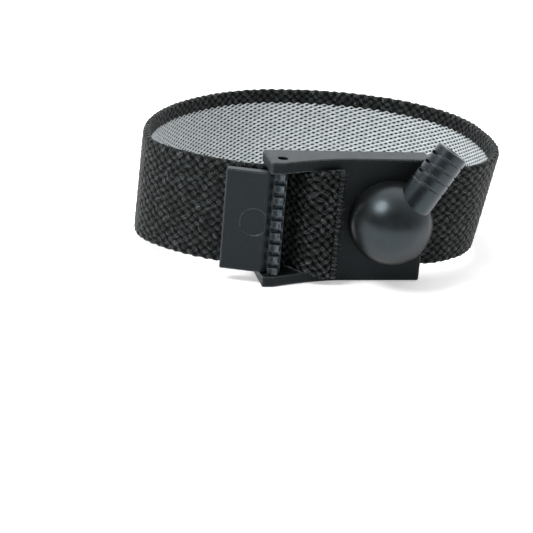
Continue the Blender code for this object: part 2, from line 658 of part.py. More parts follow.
def build_connector(plastic, soft_plastic, brass, steel, ceramic, tinned):
    """Domed connector in its own frame: X along the barrel, Y along the swivel axis."""
    pieces = []
    outer = [(CAP_RADIUS, CAP_RIM_V + CAP_RIM_ROUND)]
    outer += arc((0.0, CAP_CENTRE_V), CAP_RADIUS, 0.0, 90.0, CAP_STEPS)
    inner = arc((0.0, CAP_CENTRE_V), CAP_INNER_RADIUS, 90.0, 0.0, CAP_STEPS // 2)
    outer[-1] = (0.0, outer[-1][1])
    inner[0] = (0.0, inner[0][1])
    cap_profile = [(CAP_RADIUS - CAP_RIM_ROUND, CAP_RIM_V)]
    cap_profile += outer + inner + [(CAP_INNER_RADIUS, CAP_RIM_V)]
    cap = turned("dome_cap", cap_profile, TURN_SEGMENTS, "Y", plastic)
    port_radius = BARREL_ROOT_RADIUS + PORT_GAP
    port = rod("cut_port", port_radius, PORT_DEPTH, CAP_RADIUS + PORT_DEPTH, "X", TURN_SEGMENTS)
    port.location = (0.0, -BARREL_V * MM, 0.0)
    combine(cap, port, "DIFFERENCE")
    low = (BASE_RADIUS, -BARREL_V, -PORT_RELIEF_HALF_WIDTH)
    high = (CAP_RADIUS + PORT_DEPTH, -PLATE_DEPTH, PORT_RELIEF_HALF_WIDTH)
    relief = block("cut_port_relief", low, high)
    combine(cap, relief, "DIFFERENCE")
    base_profile = [
        (BASE_HOLE_RADIUS, BASE_COLLAR_BACK),
        (BASE_COLLAR_RADIUS, BASE_COLLAR_BACK),
        (BASE_COLLAR_RADIUS, BASE_BACK),
        (BASE_RADIUS, BASE_BACK),
        (BASE_RADIUS, BASE_FRONT),
        (BASE_HOLE_RADIUS, BASE_FRONT),
    ]
    base = turned("dome_base", base_profile, TURN_SEGMENTS, "Y", plastic)
    cup_profile = [
        (CUP_INNER_RADIUS, CUP_FLANGE_BACK),
        (CUP_FLANGE_RADIUS, CUP_FLANGE_BACK),
        (CUP_FLANGE_RADIUS, CUP_FLANGE_FRONT),
        (CUP_RADIUS, CUP_FLANGE_FRONT),
        (CUP_RADIUS, CUP_ROOF_FRONT),
        (0.0, CUP_ROOF_FRONT),
        (0.0, CUP_ROOF_BACK),
        (CUP_INNER_RADIUS, CUP_ROOF_BACK),
    ]
    cup = turned("socket_cup", cup_profile, SMALL_SEGMENTS, "Y", brass)
    foot_back = CUP_ROOF_FRONT + TAB_GAP
    tab_outline = [
        (TAB_FOOT_START, foot_back),
        (TAB_ARM, foot_back),
        (TAB_ARM, TAB_LOW),
        (TAB_ARM + TAB_THICKNESS, TAB_LOW),
        (TAB_ARM + TAB_THICKNESS, foot_back + TAB_THICKNESS),
        (TAB_FOOT_START, foot_back + TAB_THICKNESS),
    ]
    tab_edge = TAB_WIDTH * HALF
    tab = prism("solder_tab", [(x, -v) for x, v in tab_outline], -tab_edge, tab_edge, tinned)
    barrel = turned("strain_relief", barrel_profile(), TURN_SEGMENTS, "X", soft_plastic)
    barrel.location = (0.0, -BARREL_V * MM, 0.0)
    root_clear = rod("cut_root_clearance", ROOT_CLEAR_RADIUS, 0.0, ROOT_CLEAR_FRONT, "Y")
    combine(barrel, root_clear, "DIFFERENCE")
    slots = [root_clear]
    for index in range(SLOT_COUNT):
        start = SLOT_FIRST + index * SLOT_PITCH
        half_length = SLOT_LENGTH * HALF
        low = (start, -BARREL_V - half_length, BARREL_TIP_RADIUS - SLOT_DEPTH)
        high = (start + SLOT_WIDTH, -BARREL_V + half_length, BARREL_ROOT_RADIUS + SLOT_DEPTH)
        slot = block("cut_slot_%d" % (index + 1), low, high)
        combine(barrel, slot, "DIFFERENCE")
        slots.append(slot)
    resistor_profile = [
        (0.0, RESISTOR_START),
        (RESISTOR_RADIUS, RESISTOR_START),
        (RESISTOR_RADIUS, RESISTOR_START + RESISTOR_CAP_LENGTH),
        (RESISTOR_WAIST_RADIUS, RESISTOR_START + RESISTOR_CAP_LENGTH + BARREL_EDGE),
        (RESISTOR_WAIST_RADIUS, RESISTOR_END - RESISTOR_CAP_LENGTH - BARREL_EDGE),
        (RESISTOR_RADIUS, RESISTOR_END - RESISTOR_CAP_LENGTH),
        (RESISTOR_RADIUS, RESISTOR_END),
        (0.0, RESISTOR_END),
    ]
    resistor = turned("resistor_body", resistor_profile, SMALL_SEGMENTS, "X", ceramic)
    lead_in_end = RESISTOR_START - RESISTOR_GAP
    lead_in = rod("resistor_lead_in", LEAD_RADIUS, LEAD_IN_START, lead_in_end, "X", surface=tinned)
    lead_out_start = RESISTOR_END + RESISTOR_GAP
    lead_out = rod("resistor_lead_out", LEAD_RADIUS, lead_out_start, LEAD_OUT_END, "X", surface=tinned)
    ferrule_profile = [
        (FERRULE_BORE, FERRULE_START),
        (FERRULE_RADIUS, FERRULE_START),
        (FERRULE_RADIUS, FERRULE_END),
        (FERRULE_BORE, FERRULE_END),
    ]
    ferrule = turned("cord_ferrule", ferrule_profile, SMALL_SEGMENTS, "X", brass)
    for piece in (resistor, lead_in, lead_out, ferrule):
        piece.location = (0.0, -BARREL_V * MM, 0.0)
    ring_profile = arc((RING_RADIUS, RING_V), RING_WIRE, 0.0, 360.0, RING_SIDES)[:-1]
    ring = turned("snap_ring", ring_profile, TURN_SEGMENTS, "Y", steel)
    pieces += [cap, port, relief, base, cup, tab, barrel, resistor, lead_in, lead_out]
    pieces += [ferrule, ring] + slots
    swivel = bpy.data.objects.new("swivel_axis", None)
    bpy.context.scene.collection.objects.link(swivel)
    for piece in pieces:
        piece.parent = swivel
    swivel.location = ((SNAP_U - FRAME_LENGTH * HALF) * MM, 0.0, SNAP_Z * MM)
    swivel.rotation_euler = (0.0, -math.radians(CONNECTOR_ANGLE), 0.0)
    return [swivel]


def centre_assembly(top_level):
    """Put the middle of the whole footprint on the origin, standing on z = 0."""
    vertices, _ = band_body()
    band = np.array(vertices)
    centre_x = (band[:, 0].min() + band[:, 0].max()) * HALF
    centre_y = (band[:, 1].max() - CAP_CENTRE_V - CAP_RADIUS) * HALF
    shift = Vector((-centre_x * MM, -centre_y * MM, 0.0))
    for piece in top_level:
        piece.location = piece.location + shift


def build():
    """Make every piece of the strap."""
    clear_scene()
    plastic = material("moulded_plastic", (0.030, 0.032, 0.035), 0.0, 0.42)
    lever_plastic = material("lever_plastic", (0.034, 0.037, 0.040), 0.0, 0.45)
    cap_plastic = material("cap_plastic", (0.028, 0.030, 0.033), 0.0, 0.34)
    soft_plastic = material("relief_rubber", (0.030, 0.033, 0.037), 0.0, 0.38)
    fabric = material("elastic_knit", (0.020, 0.021, 0.020), 0.0, 0.95)
    stainless = material("stainless_steel", (0.62, 0.62, 0.61), 1.0, 0.28)
    spring_steel = material("spring_steel", (0.50, 0.50, 0.50), 1.0, 0.30)
    plated = material("plated_brass", (0.66, 0.62, 0.52), 1.0, 0.30)
    ceramic = material("resistor_lacquer", (0.42, 0.50, 0.58), 0.0, 0.40)
    tinned = material("tinned_copper", (0.60, 0.58, 0.55), 1.0, 0.35)
    top_level = build_frame(plastic)
    top_level += build_pin(spring_steel)
    top_level += build_lever(lever_plastic)
    top_level += build_band(fabric)
    top_level += build_contact(stainless)
    top_level += build_rivet(plated)
    top_level += build_connector(cap_plastic, soft_plastic, plated, spring_steel, ceramic, tinned)
    centre_assembly(top_level)


build()
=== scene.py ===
"""Looks of the antistatic wrist strap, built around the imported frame.

Lengths in the constants are millimetres and angles are degrees, unless a comment says
otherwise; `MM` turns millimetres into metres.  u runs along the buckle from its ear
end, v out of the buckle's back plane towards the dome.  In the world X grows with u
and Y falls with v.  Colours are linear red, green and blue.
"""
import json
import math

import bpy
import numpy as np
from mathutils import Matrix, Vector


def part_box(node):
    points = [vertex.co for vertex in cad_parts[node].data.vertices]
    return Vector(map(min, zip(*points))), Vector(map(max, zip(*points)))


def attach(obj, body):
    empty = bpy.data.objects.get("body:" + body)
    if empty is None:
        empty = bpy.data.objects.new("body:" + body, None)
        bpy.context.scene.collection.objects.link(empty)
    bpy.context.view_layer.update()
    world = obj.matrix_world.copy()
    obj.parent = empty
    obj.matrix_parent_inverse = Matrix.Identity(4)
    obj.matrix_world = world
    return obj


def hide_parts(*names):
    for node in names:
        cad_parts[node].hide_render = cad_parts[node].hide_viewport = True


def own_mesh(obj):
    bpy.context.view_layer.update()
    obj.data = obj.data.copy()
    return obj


MM = 0.001
HALF = 0.5
TURN = 2.0 * math.pi
FRONT_LENGTH = 31.8

# Camera, placed from the middle of the buckle
VIEW_AZIMUTH = -13.72
VIEW_ELEVATION = 21.21
VIEW_ROLL = 5.06
VIEW_DISTANCE = 310.9
VIEW_SIDE = 13.82
VIEW_RISE = 10.55
VIEW_LENS = 109.6
SENSOR_WIDTH = 36.0

# Elastic band, as in the frame's band_loop and band_tail: its middle's v, and the u
# where the loop leaves the free end and where the riveted end stops
BAND_WIDTH = 19.7
BAND_V = 1.85
BAND_SPLIT = 4.35
BAND_FIXED_END = 16.35
STATION_STEP = 0.2

# The loop from above: four quarters of superellipses about its widest points
LOOP_LEFT = 35.5
LOOP_RIGHT = 34.7
LOOP_WIDEST_LEFT = 14.5
LOOP_WIDEST_RIGHT = 28.6
LOOP_FAR = 58.35
LOOP_POWER_LEFT = 1.6
LOOP_POWER_RIGHT = 2.6
LOOP_POWER_FAR_LEFT = 1.86
LOOP_POWER_FAR_RIGHT = 2.27
LOOP_SAMPLES = 2880

# How the loop leans over its width once it is clear of the buckle
FAR_EDGE_DROP = 2.4
LEAN_START = 16.6
LEAN_LENGTH = 8.0
LEAN_REACH = 35.0
LEAN_RIGHT = -3.2
LEAN_LEFT = 1.1
LEAN_FAR = -1.5

# The free end: where it runs, how it rises through the window and spreads, and the
# share of its height that is left when the lever presses it
TAIL_START = 4.5
TAIL_END = 14.4
TAIL_SAMPLES = 400
TAIL_RISE = 5.35
TAIL_RISE_END = 9.7
TAIL_DROP = 0.175
TAIL_SPREAD = 0.0736
TAIL_SPREAD_START = 9.2
TAIL_SPREAD_END = 11.5

# Outer knit: slanted grains, the creases and holes between them, and its strands.
# Openness is how deep the creases and holes go.  A grain has a chance value from 0 to
# 1, and where it is over CROSSED_FROM the grain's strands run the other way.
KNIT_HALF_THICKNESS = 0.58
KNIT_STEP = 0.135
COVERED_STEP = 1.2
GRAIN_PITCH_ALONG = 2.0
GRAIN_PITCH_ACROSS = 1.67
GRAIN_HEIGHT = 0.3
GRAIN_OFFSET = 5.0
HOLE_SHARPNESS = 1.4
HOLE_UNEVEN = 0.3
CREASE_FALLING = 0.36
CREASE_RISING = 0.44
CROWN = 0.16
UNEVEN = 0.3
FUZZ = 0.16
FUZZ_PER_GRAIN = 5.0
LOOP_OPENNESS = 0.86
TAIL_OPENNESS = 0.92
STRANDS = 2.6
STRAND_DEPTH = 0.3
STRAND_SWAY = 1.6
CROSSED_FROM = 0.72

# Slow waves that move the stitches: radians per millimetre along and across, salt share
WANDER = 0.27
WANDER_WAVES = ((0.71, 0.53, 1.0), (1.73, -1.37, 2.3), (0.37, 2.9, 0.7))

# Net-like lining of wavy yarns, with a scalloped edge
LINING_HALF_WIDTH = 7.15
LINING_STEP = 0.11
LINING_ROW_PITCH = 0.44
LINING_WAVE = 2.0
LINING_WAVE_HEIGHT = 0.17
LINING_UNEVEN = 0.25
LINING_YARN_HALF = 0.25
LINING_YARN_DIP = 0.14
LINING_RELIEF = 0.24
LINING_RISE = 0.03
LINING_TUCK = 0.2
SCALLOP = 0.22

# Column of locking stitches at the free end's cut
LOCK_WIDTH = 1.5
LOCK_FADE = 0.3
LOCK_MIDDLE = 0.6
LOCK_HALF_WIDTH = 0.62
LOCK_HEIGHT = 0.5
LOCK_KNOB = 0.22
LOCK_PITCH = 0.8

# Yarn ends fraying out of the cut
FRAY_SEED = 11
FRAY_COUNT = 90
FRAY_SIDES = 5
FRAY_RINGS = 6
FRAY_ALONG = (-0.5, 0.05)
FRAY_OUTWARD = (-0.55, 0.6)
FRAY_UP = (-10.2, 10.0)
FRAY_FORWARD = (0.3, 1.0)
FRAY_SPREAD = 0.5
FRAY_BEND = 0.35
FRAY_LENGTH = (0.35, 0.95)
FRAY_RADIUS = (0.035, 0.06)
FRAY_TAPER = 0.7

# Dome
DOME_WALL = 1.65
DOME_EDGE = 0.18
DOME_STEPS = 48
DOME_SIDES = 160
DOME_SHARP = 40.0

# Studio, in metres
WHITE = (1.0, 1.0, 1.0)
CLIP_NEAR = 0.01
CLIP_FAR = 20.0
FLOOR_REACH = 12.0
FLOOR_GLOW = 0.42
FLOOR_SHADES = ((0.93, 0.93, 0.93), (0.97, 0.97, 0.97))
BRIGHT_WAY = (0.30, 0.75, 0.59)
WORLD_RAMP = {"From Min": -0.3, "From Max": 0.75, "To Min": 0.08, "To Max": 1.15}
LIGHT_AIM = (0.0, 0.0, 0.01)
KEY_LIGHT = {"place": (-0.34, -0.14, 0.50), "size": 0.28, "power": 3.1, "colour": WHITE}
TOP_LIGHT = {"place": (0.12, 0.30, 0.60), "size": 0.9, "power": 1.2, "colour": (1.0, 1.0, 0.98)}

# Colours of the plastics, and how rubbing, worn edges and polish change them; the worn edges also carry
# a painted highlight, the polished lever teeth a painted sheen, and the flank beyond the teeth painted
# shade
BLACK = (0.0080, 0.0092, 0.0094)
SLATE = (0.0065, 0.0080, 0.0092)
WORN_AND_HIGHLIGHT = (0.20, 0.22, 0.225)
BURNISHED_AND_SHEEN = (0.072, 0.086, 0.102)
PAINTED_FLANK_SHADE = (0.0012, 0.0014, 0.0015)
GLOSS_TINT = (0.74, 0.90, 1.0)
DEEPER = 0.7
PALER = 1.9
PALE_LIFT = 0.006
SPECKS = 0.35
RUBS = 0.25
EDGE_ROUND = 0.32
EDGE_SAMPLES = 4
TEETH_DEPTH = 2.2
POLISH_FADE = 0.3

# Stretches of the noise patterns, per millimetre, and the turn of the rubs, in radians
EVEN = (1.0, 1.0, 1.0)
RUB_STRETCH = (6.0, 0.5, 0.7)
RUB_TURN = (0.3, 0.5, 0.9)
POLISH_STRETCH = (5.0, 5.0, 0.8)
STRAND_STRETCH = (0.9, 3.2, 1.0)
FIBRE_STRETCH = (2.0, 12.0, 1.0)

# Moulded finishes by slot; facing and grazing are the gloss seen square on and at a slant
POLISHED_SLOT = "lever_plastic"
PLASTICS = {
    "moulded_plastic": {
        "colour": BLACK, "roughness": 0.5, "grain": 5.0, "depth": 0.03,
        "facing": 0.16, "grazing": 0.8, "streak": 0.0, "wear_and_highlight": 0.75,
    },
    "lever_plastic": {
        "colour": SLATE, "roughness": 0.42, "grain": 6.0, "depth": 0.03,
        "facing": 0.24, "grazing": 0.7, "streak": 0.1, "wear_and_highlight": 0.5,
    },
    "cap_plastic": {
        "colour": BLACK, "roughness": 0.34, "grain": 4.0, "depth": 0.012,
        "facing": 0.55, "grazing": 0.02, "streak": 0.0, "wear_and_highlight": 0.5,
    },
    "relief_rubber": {
        "colour": SLATE, "roughness": 0.3, "grain": 3.0, "depth": 0.02,
        "facing": 0.6, "grazing": 0.7, "streak": 0.0, "wear_and_highlight": 0.3,
    },
}

# Metal finishes by slot
TARNISH = 0.72
METALS = {
    "stainless_steel": {
        "colour": (0.62, 0.62, 0.61), "roughness": 0.28, "stretch": (0.25, 1.0, 6.0), "scale": 2.0,
    },
    "spring_steel": {
        "colour": (0.12, 0.12, 0.12), "roughness": 0.35, "stretch": (1.0, 1.0, 0.2), "scale": 3.0,
    },
    "plated_brass": {"colour": (0.66, 0.62, 0.52), "roughness": 0.26, "stretch": EVEN, "scale": 3.0},
    "tinned_copper": {"colour": (0.60, 0.58, 0.55), "roughness": 0.3, "stretch": EVEN, "scale": 4.0},
}
LACQUER = (0.42, 0.50, 0.58)
LACQUER_DULL = 0.8

# Yarn finishes. In the outer knit the gap colour is painted shade in the holes and creases, and the
# glint colour a painted highlight on the strands' crests; in the lining the gap colour is the dark knit
# seen through the net, deepened as painted shade.
OUTER_LOOK = {
    "gap": (0.0010, 0.0013, 0.0014), "yarn": (0.0026, 0.0038, 0.0040), "glint": (0.090, 0.113, 0.115),
}
LINING_LOOK = {
    "gap": (0.002, 0.002, 0.003), "yarn": (0.78, 0.85, 0.88), "light": (0.92, 0.98, 1.0),
    "contrast": 0.22, "crest": 1.3, "roughness": 0.5,
}
FRAY_LOOK = {
    "gap": (0.07, 0.08, 0.08), "yarn": (0.11, 0.12, 0.12), "light": (0.24, 0.26, 0.26),
    "contrast": 0.5, "crest": 0.7, "roughness": 0.7,
}


def smoothstep(value):
    """Ease 0..1 values with flat ends."""
    clamped = np.clip(value, 0.0, 1.0)
    return clamped * clamped * (3.0 - 2.0 * clamped)


def path_lengths(first, second):
    """Distance walked along a flat path, at each of its points."""
    return np.concatenate([[0.0], np.cumsum(np.hypot(np.diff(first), np.diff(second)))])


def even_places(length):
    """Evenly spaced distances from 0 to a length, about a station step apart."""
    count = int(round(length / STATION_STEP))
    return np.linspace(0.0, length, count + 1)


def loop_outline():
    """Points of the band's centre line, from the clamp round the wrist to the riveted end."""
    half_length = FRONT_LENGTH * HALF
    angle = -math.pi * HALF - TURN * (np.arange(LOOP_SAMPLES) + HALF) / LOOP_SAMPLES
    cosine = np.cos(angle)
    sine = np.sin(angle)
    far = sine > 0.0
    right = cosine > 0.0
    far_power = np.where(right, LOOP_POWER_FAR_RIGHT, LOOP_POWER_FAR_LEFT)
    near_power = np.where(right, LOOP_POWER_RIGHT, LOOP_POWER_LEFT)
    power = np.where(far, far_power, near_power)
    widest = np.where(right, LOOP_RIGHT, LOOP_LEFT)
    widest_y = np.where(right, LOOP_WIDEST_RIGHT, LOOP_WIDEST_LEFT)
    depth = np.where(far, LOOP_FAR - widest_y, widest_y + BAND_V)
    straight = np.where(far, 0.0, half_length)
    reach = straight + (widest - straight) * np.abs(cosine) ** (2.0 / power)
    x = np.sign(cosine) * reach
    y = widest_y + np.sign(sine) * depth * np.abs(sine) ** (2.0 / power)
    x = np.concatenate([[BAND_SPLIT - half_length], x, [BAND_FIXED_END - half_length]])
    y = np.concatenate([[-BAND_V], y, [-BAND_V]])
    return x, y


def loop_stations():
    """Evenly spaced stations of the loop with their outward way, lean and height."""
    x, y = loop_outline()
    lengths = path_lengths(x, y)
    along = even_places(lengths[-1])
    x = np.interp(along, lengths, x)
    y = np.interp(along, lengths, y)
    way_x = np.gradient(x)
    way_y = np.gradient(y)
    size = np.hypot(way_x, way_y)
    near = y < LOOP_WIDEST_LEFT
    free = np.where(near, smoothstep((np.abs(x) - LEAN_START) / LEAN_LENGTH), 1.0)
    distance = smoothstep(y / LOOP_FAR)
    side_lean = np.where(x > 0.0, LEAN_RIGHT, -LEAN_LEFT) * x / LEAN_REACH
    return {
        "along": -along,
        "x": x,
        "y": y,
        "out_x": -way_y / size,
        "out_y": way_x / size,
        "lean": side_lean * free + LEAN_FAR * distance,
        "drop": FAR_EDGE_DROP * distance,
        "spread": np.zeros(len(along)),
    }


def tail_stations():
    """Stations of the free end, lifting out through the window past the clamp."""
    fine = np.linspace(0.0, TAIL_END - TAIL_START, TAIL_SAMPLES)
    risen = np.clip(fine / (TAIL_RISE_END - TAIL_START), 0.0, 1.0)
    height = TAIL_RISE * smoothstep(risen)
    lengths = path_lengths(fine, height)
    along = even_places(lengths[-1])
    place = np.interp(along, lengths, fine)
    lift = np.interp(along, lengths, height)
    slope = np.gradient(lift, place)
    size = np.hypot(1.0, slope)
    u = TAIL_START + place
    spread = smoothstep((u - TAIL_SPREAD_START) / (TAIL_SPREAD_END - TAIL_SPREAD_START))
    return {
        "along": along,
        "x": u - FRONT_LENGTH * HALF,
        "y": -BAND_V - lift,
        "out_x": -slope / size,
        "out_y": -1.0 / size,
        "lean": np.zeros(len(along)),
        "drop": TAIL_DROP * spread,
        "spread": TAIL_SPREAD * spread,
    }


def edge_rows(places, first_angle, middle, round_from):
    """Rows of the band's section round one of its two edges."""
    rows = []
    for place in places:
        angle = first_angle + place / KNIT_HALF_THICKNESS
        cosine = math.cos(angle)
        sine = math.sin(angle)
        rows.append((
            KNIT_HALF_THICKNESS * cosine,
            middle + KNIT_HALF_THICKNESS * sine,
            cosine,
            sine,
            round_from + place,
        ))
    return rows


def band_section():
    """Round-edged section: across, width, the normal's two parts, distance round it."""
    radius = KNIT_HALF_THICKNESS
    flat = BAND_WIDTH * HALF - radius
    arc_length = math.pi * radius
    inner_border = flat - LINING_HALF_WIDTH + LINING_TUCK
    outer = np.arange(-flat, flat, KNIT_STEP)
    edge = np.linspace(0.0, arc_length, int(math.ceil(arc_length / KNIT_STEP)), endpoint=False)
    border = np.arange(0.0, inner_border, KNIT_STEP)
    covered = np.arange(inner_border, 2.0 * flat - inner_border, COVERED_STEP)
    inner = np.concatenate([border, covered, 2.0 * flat - border[::-1]])
    rows = [(radius, place, 1.0, 0.0, place) for place in outer]
    rows += edge_rows(edge, 0.0, flat, flat)
    for place in inner:
        distance = place if place < flat else place - 2.0 * flat
        round_it = flat + arc_length + place if distance >= 0.0 else -flat - arc_length + distance
        rows.append((-radius, flat - place, -1.0, 0.0, round_it))
    rows += edge_rows(edge, math.pi, -flat, -flat - arc_length)
    return np.array(rows).T


def scatter(first, second, salt):
    """Repeatable pseudo-random 0..1 values for pairs of whole numbers (the usual sine hash)."""
    value = np.sin(first * 12.9898 + second * 78.233 + salt * 37.719) * 43758.5453
    return value - np.floor(value)


def wander(along, across, salt):
    """Slow sideways drift of the stitches, in millimetres."""
    waves = [np.sin(along * a + across * b + salt * c) for a, b, c in WANDER_WAVES]
    return WANDER * sum(waves) / len(WANDER_WAVES)


def grain_lattice(along, across):
    """Place on the outer knit's two slanted sets of lines, whole numbers on the grains."""
    first = along / GRAIN_PITCH_ALONG + wander(along, across, 1.0) / GRAIN_PITCH_ALONG
    second = across / GRAIN_PITCH_ACROSS + wander(along, across, 4.0) / GRAIN_PITCH_ACROSS
    return first + second, first - second


def grain_height(rising, falling):
    """Relief of the outer knit: slanted grains crossing at creases, small holes between."""
    column = np.round(rising)
    row = np.round(falling)
    rising_away = np.sin(math.pi * rising) ** 2
    falling_away = np.sin(math.pi * falling) ** 2
    depth = 1.0 - HOLE_UNEVEN * scatter(np.floor(rising), np.floor(falling), salt=9.0)
    hole = depth * (rising_away * falling_away) ** HOLE_SHARPNESS
    crease = CREASE_FALLING * falling_away ** 3 * (1.0 - rising_away)
    crease = crease + CREASE_RISING * rising_away ** 3 * (1.0 - falling_away)
    tall = 1.0 - UNEVEN * scatter(column, row, salt=5.0)
    crown = 1.0 - CROWN * (rising_away + falling_away)
    twist = scatter(column, row, salt=3.0)
    strands = np.sin(math.pi * (STRANDS * rising + GRAIN_OFFSET * twist)) ** 2
    fibres = 1.0 - STRAND_DEPTH * strands
    fuzz_column = np.round(FUZZ_PER_GRAIN * rising)
    fuzz_row = np.round(FUZZ_PER_GRAIN * falling)
    fuzz = FUZZ * scatter(fuzz_column, fuzz_row, salt=13.0)
    return np.clip(tall * (crown * fibres - crease - hole) - fuzz, 0.0, 1.0)


def lining_height(along, across):
    """Relief of the net-like lining, 0 in the gaps to 1 on the yarns."""
    best = np.zeros(np.broadcast(along, across).shape)
    nearest = np.round(across / LINING_ROW_PITCH)
    for step in (-1.0, 0.0, 1.0):
        row = nearest + step
        side = np.where(np.mod(row, 2.0) < 1.0, 1.0, -1.0)
        shift = LINING_UNEVEN * (scatter(row, 0.0, salt=7.0) - HALF)
        phase = TURN * along / LINING_WAVE + shift
        crest = LINING_WAVE_HEIGHT * np.cos(phase)
        slope = LINING_WAVE_HEIGHT * np.sin(phase) * TURN / LINING_WAVE
        away = (across - row * LINING_ROW_PITCH - side * crest) / np.sqrt(1.0 + slope * slope)
        lift = 1.0 - LINING_YARN_DIP + LINING_YARN_DIP * side * np.sin(phase)
        yarn = lift * np.sqrt(np.clip(1.0 - (away / LINING_YARN_HALF) ** 2, 0.0, 1.0))
        best = np.maximum(best, yarn)
    return best


def tail_ending(along, round_it, height):
    """Relief of the free end's knit with one column of locking stitches at its cut."""
    from_end = along.max() - along
    away = (from_end - LOCK_MIDDLE) / LOCK_HALF_WIDTH
    column = np.sqrt(np.clip(1.0 - away ** 2, 0.0, 1.0))
    stitches = np.cos(TURN * (round_it + wander(along, round_it, 2.0)) / LOCK_PITCH)
    knobs = LOCK_HEIGHT + LOCK_KNOB * stitches
    share = smoothstep((LOCK_WIDTH - from_end) / LOCK_FADE)
    return height * (1.0 - share) + column * knobs * share


def place_points(stations, across, width, middle):
    """World coordinates in millimetres from section coordinates at every station."""
    shift = across - stations["lean"][:, None] * width / BAND_WIDTH
    x = stations["x"][:, None] + stations["out_x"][:, None] * shift
    y = stations["y"][:, None] + stations["out_y"][:, None] * shift
    z = middle[2] - stations["drop"][:, None] + width * (1.0 + stations["spread"][:, None])
    return np.stack([x + middle[0], y + middle[1], z], axis=2)


def grid_faces(rows, columns, closed):
    """Quads of a grid of points, closed round its columns or open."""
    index = np.arange(rows * columns).reshape(rows, columns)
    if closed:
        index = np.concatenate([index, index[:, :1]], axis=1)
    corners = (index[:-1, :-1], index[:-1, 1:], index[1:, 1:], index[1:, :-1])
    return np.stack([corner.ravel() for corner in corners], axis=1)


def ring_faces(start, rings, sides, gap_after):
    """Quads between rings of points, last to first too, except after one of them."""
    faces = []
    for ring in range(rings):
        if ring == gap_after:
            continue
        first = start + ring * sides
        second = start + (ring + 1) % rings * sides
        for side in range(sides):
            turn = (side + 1) % sides
            faces.append((first + side, first + turn, second + turn, second + side))
    return faces


def make_mesh(name, points, faces, material):
    """A smooth-shaded mesh with one material, from points in metres."""
    mesh = bpy.data.meshes.new(name)
    mesh.from_pydata(points, [], faces)
    mesh.materials.append(material)
    mesh.shade_smooth()
    return mesh


def link_object(name, data):
    """A new object of the scene that shows a mesh, a light or a camera."""
    item = bpy.data.objects.new(name, data)
    bpy.context.scene.collection.objects.link(item)
    return item


def cloth_piece(name, points, faces, attributes, material):
    """A piece from a grid of millimetre points, with float values stored at its points."""
    mesh = make_mesh(name, (points.reshape(-1, 3) * MM).tolist(), faces, material)
    for label, values in attributes.items():
        layer = mesh.attributes.new(label, "FLOAT", "POINT")
        layer.data.foreach_set("value", np.ascontiguousarray(values, np.float32).ravel())
    return link_object(name, mesh)


def knit_piece(name, stations, material, middle, openness, ending=None):
    """The band's body: outer face, rounded edges and inner borders, closed at both ends."""
    across, width, normal_across, normal_width, round_it = band_section()
    along = stations["along"][:, None]
    rising, falling = grain_lattice(along, round_it[None, :])
    height = 1.0 - openness * (1.0 - grain_height(rising, falling))
    if ending is not None:
        height = ending(along, round_it[None, :], height)
    under_lining = (normal_across < -HALF) & (np.abs(width) < LINING_HALF_WIDTH - LINING_TUCK)
    relief = height * GRAIN_HEIGHT * np.where(under_lining, 0.0, 1.0)[None, :]
    points = place_points(
        stations,
        across[None, :] + relief * normal_across[None, :],
        width[None, :] + relief * normal_width[None, :],
        middle,
    )
    rows, columns = height.shape
    faces = grid_faces(rows, columns, True)[:, ::-1].tolist()
    last = (rows - 1) * columns
    faces.append(tuple(range(columns)))
    faces.append(tuple(last + index for index in reversed(range(columns))))
    attributes = {"relief": height, "rising": rising, "falling": falling}
    return cloth_piece(name, points, faces, attributes, material)


def lining_piece(name, stations, material, middle):
    """The light net lining on the band's inner face, its borders tucked into the knit."""
    border = LINING_HALF_WIDTH + LINING_TUCK
    across = np.arange(-border, border, LINING_STEP)[None, :]
    along = stations["along"][:, None]
    height = lining_height(along, across)
    scallop = SCALLOP * np.cos(TURN * along / LINING_WAVE)
    edge = LINING_HALF_WIDTH + scallop * np.sign(across) - np.abs(across)
    shown = smoothstep(edge / LINING_TUCK + HALF)
    relief = LINING_RISE + LINING_RELIEF * height * shown - LINING_TUCK * (1.0 - shown)
    points = place_points(stations, -(KNIT_HALF_THICKNESS + relief), across, middle)
    attributes = {
        "relief": height * shown,
        "along": np.broadcast_to(along, height.shape),
        "across": np.broadcast_to(across, height.shape),
    }
    return cloth_piece(name, points, grid_faces(*height.shape, False).tolist(), attributes, material)


def fray_rings(generator):
    """Rings of points round one short yarn end, bent and tapering."""
    start = np.array([
        TAIL_END - FRONT_LENGTH * HALF + generator.uniform(*FRAY_ALONG),
        -BAND_V - TAIL_RISE + generator.uniform(*FRAY_OUTWARD),
        generator.uniform(*FRAY_UP),
    ])
    forward = generator.uniform(*FRAY_FORWARD)
    way = np.array([forward, generator.normal(0.0, FRAY_SPREAD), generator.normal(0.0, FRAY_SPREAD)])
    way /= np.linalg.norm(way)
    bend = generator.normal(0.0, FRAY_BEND, 3)
    length = generator.uniform(*FRAY_LENGTH)
    radius = generator.uniform(*FRAY_RADIUS)
    level = np.array([-way[1], way[0], 0.0])
    upright = np.cross(way, level)
    points = []
    for ring in range(FRAY_RINGS):
        share = ring / (FRAY_RINGS - 1)
        centre = start + way * length * share + bend * length * share * share
        thick = radius * (1.0 - FRAY_TAPER * share)
        for side in range(FRAY_SIDES):
            angle = TURN * side / FRAY_SIDES
            points.append(centre + (level * math.cos(angle) + upright * math.sin(angle)) * thick)
    return points


